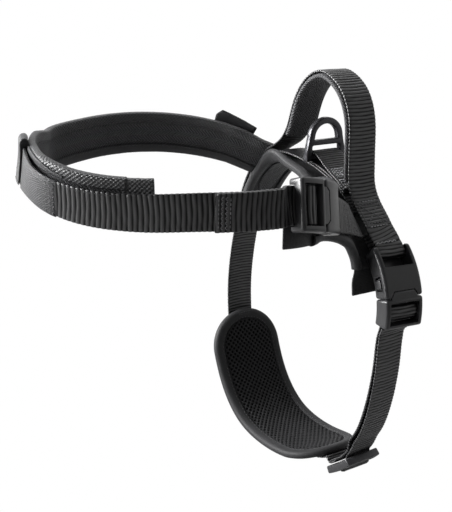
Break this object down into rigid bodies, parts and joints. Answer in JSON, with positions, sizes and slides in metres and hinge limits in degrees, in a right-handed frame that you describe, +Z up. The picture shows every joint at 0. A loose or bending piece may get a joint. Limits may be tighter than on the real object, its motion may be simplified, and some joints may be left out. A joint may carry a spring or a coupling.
{
  "type": "dog body harness",
  "caption": "Black dog body harness: padded chest loop, saddle with grab handle and D-ring, girth loop with a mesh-lined belly pad, side release buckles and a strap slider.",
  "frame": {"origin": "on the inner face of the saddle lining, on the centre line of the handle (the handle's top is straight above it), where the harness rests on the dog's back", "axes": "+Z up, +X towards the tail, -X towards the chest, -Y the dog's left side with both buckles"},
  "size_m": [0.2819, 0.2369, 0.3183],
  "materials": {
    "webbing": "ribbed woven webbing, near black",
    "binding": "smooth stretch binding, near black",
    "mesh_fabric": "open spacer mesh, black",
    "woven_fabric": "plain woven cloth and tape, near black",
    "buckle_plastic": "satin moulded plastic, black",
    "ring_metal": "dark satin coated metal"
  },
  "bodies": {
    "harness": {"chest_buckle_female": "buckle_plastic", "chest_flap_near": "woven_fabric", "chest_leg_webbing_near": "webbing", "chest_pad_binding_lower": "binding", "chest_pad_binding_upper": "binding", "chest_pad_core": "mesh_fabric", "chest_pad_end_tab": "woven_fabric", "chest_pad_piping": "woven_fabric", "chest_webbing": "webbing", "d_ring_keeper": "webbing", "far_side_tab": "woven_fabric", "front_leash_loop": "woven_fabric", "girth_buckle_female": "buckle_plastic", "girth_flap_near": "woven_fabric", "girth_pad_binding": "binding", "girth_pad_core": "woven_fabric", "girth_pad_mesh": "mesh_fabric", "girth_strap_far": "webbing", "girth_strap_near": "webbing", "saddle_binding_corner": "binding", "saddle_binding_front": "binding", "saddle_binding_rear": "binding", "saddle_lining": "mesh_fabric", "saddle_underlay": "woven_fabric", "saddle_webbing": "webbing"},
    "d_ring": {"d_ring": "ring_metal"},
    "handle": {"handle_webbing": "webbing", "handle_lining": "binding"},
    "girth_male": {"girth_buckle_male": "buckle_plastic"},
    "girth_latch_a": {"girth_buckle_latch_a": "buckle_plastic"},
    "girth_latch_b": {"girth_buckle_latch_b": "buckle_plastic"},
    "chest_male": {"chest_buckle_male": "buckle_plastic"},
    "chest_latch_a": {"chest_buckle_latch_a": "buckle_plastic"},
    "chest_latch_b": {"chest_buckle_latch_b": "buckle_plastic"},
    "tri_glide": {"tri_glide": "buckle_plastic"}
  },
  "joints": [
    {"name": "d_ring_swing", "type": "hinge", "parent": "harness", "child": "d_ring", "pos_m": [-0.001, 0.005, 0.0176], "axis": [1, 0, 0], "range_deg": [-60, 60]},
    {"name": "handle_fold", "type": "hinge", "parent": "harness", "child": "handle", "pos_m": [-0.001, 0, 0.008], "axis": [0, 1, 0], "range_deg": [-40, 40], "deforming": ["handle_webbing", "handle_lining"]},
    {"name": "girth_buckle_release", "type": "hinge", "parent": "harness", "child": "girth_male", "pos_m": [0.00098, -0.02695, -0.08523], "axis": [0.9987, -0.035, -0.038], "range_deg": [0, 24], "deforming": ["girth_strap_near", "girth_buckle_latch_a", "girth_buckle_latch_b"]},
    {"name": "girth_latch_a_press", "type": "hinge", "parent": "girth_male", "child": "girth_latch_a", "pos_m": [0.00822, -0.08577, -0.07239], "axis": [-0.0258, -0.9753, 0.2196], "range_deg": [0, 15]},
    {"name": "girth_latch_b_press", "type": "hinge", "parent": "girth_male", "child": "girth_latch_b", "pos_m": [-0.00936, -0.08515, -0.07172], "axis": [0.0258, 0.9753, -0.2196], "range_deg": [0, 15]},
    {"name": "chest_buckle_release", "type": "hinge", "parent": "harness", "child": "chest_male", "pos_m": [-0.11842, -0.05401, -0.00164], "axis": [-0.137, -0.2831, -0.9493], "range_deg": [0, 24], "deforming": ["chest_webbing", "chest_buckle_latch_a", "chest_buckle_latch_b"]},
    {"name": "chest_latch_a_press", "type": "hinge", "parent": "chest_male", "child": "chest_latch_a", "pos_m": [-0.09364, -0.10523, 0.01933], "axis": [-0.3929, 0.8952, -0.2103], "range_deg": [0, 15]},
    {"name": "chest_latch_b_press", "type": "hinge", "parent": "chest_male", "child": "chest_latch_b", "pos_m": [-0.09605, -0.11021, 0.00262], "axis": [0.3929, -0.8952, 0.2103], "range_deg": [0, 15]},
    {"name": "strap_slider_slide", "type": "slide", "parent": "harness", "child": "tri_glide", "axis": [0, 0.8237, -0.567], "range_m": [-0.012, 0.001]}
  ]
}
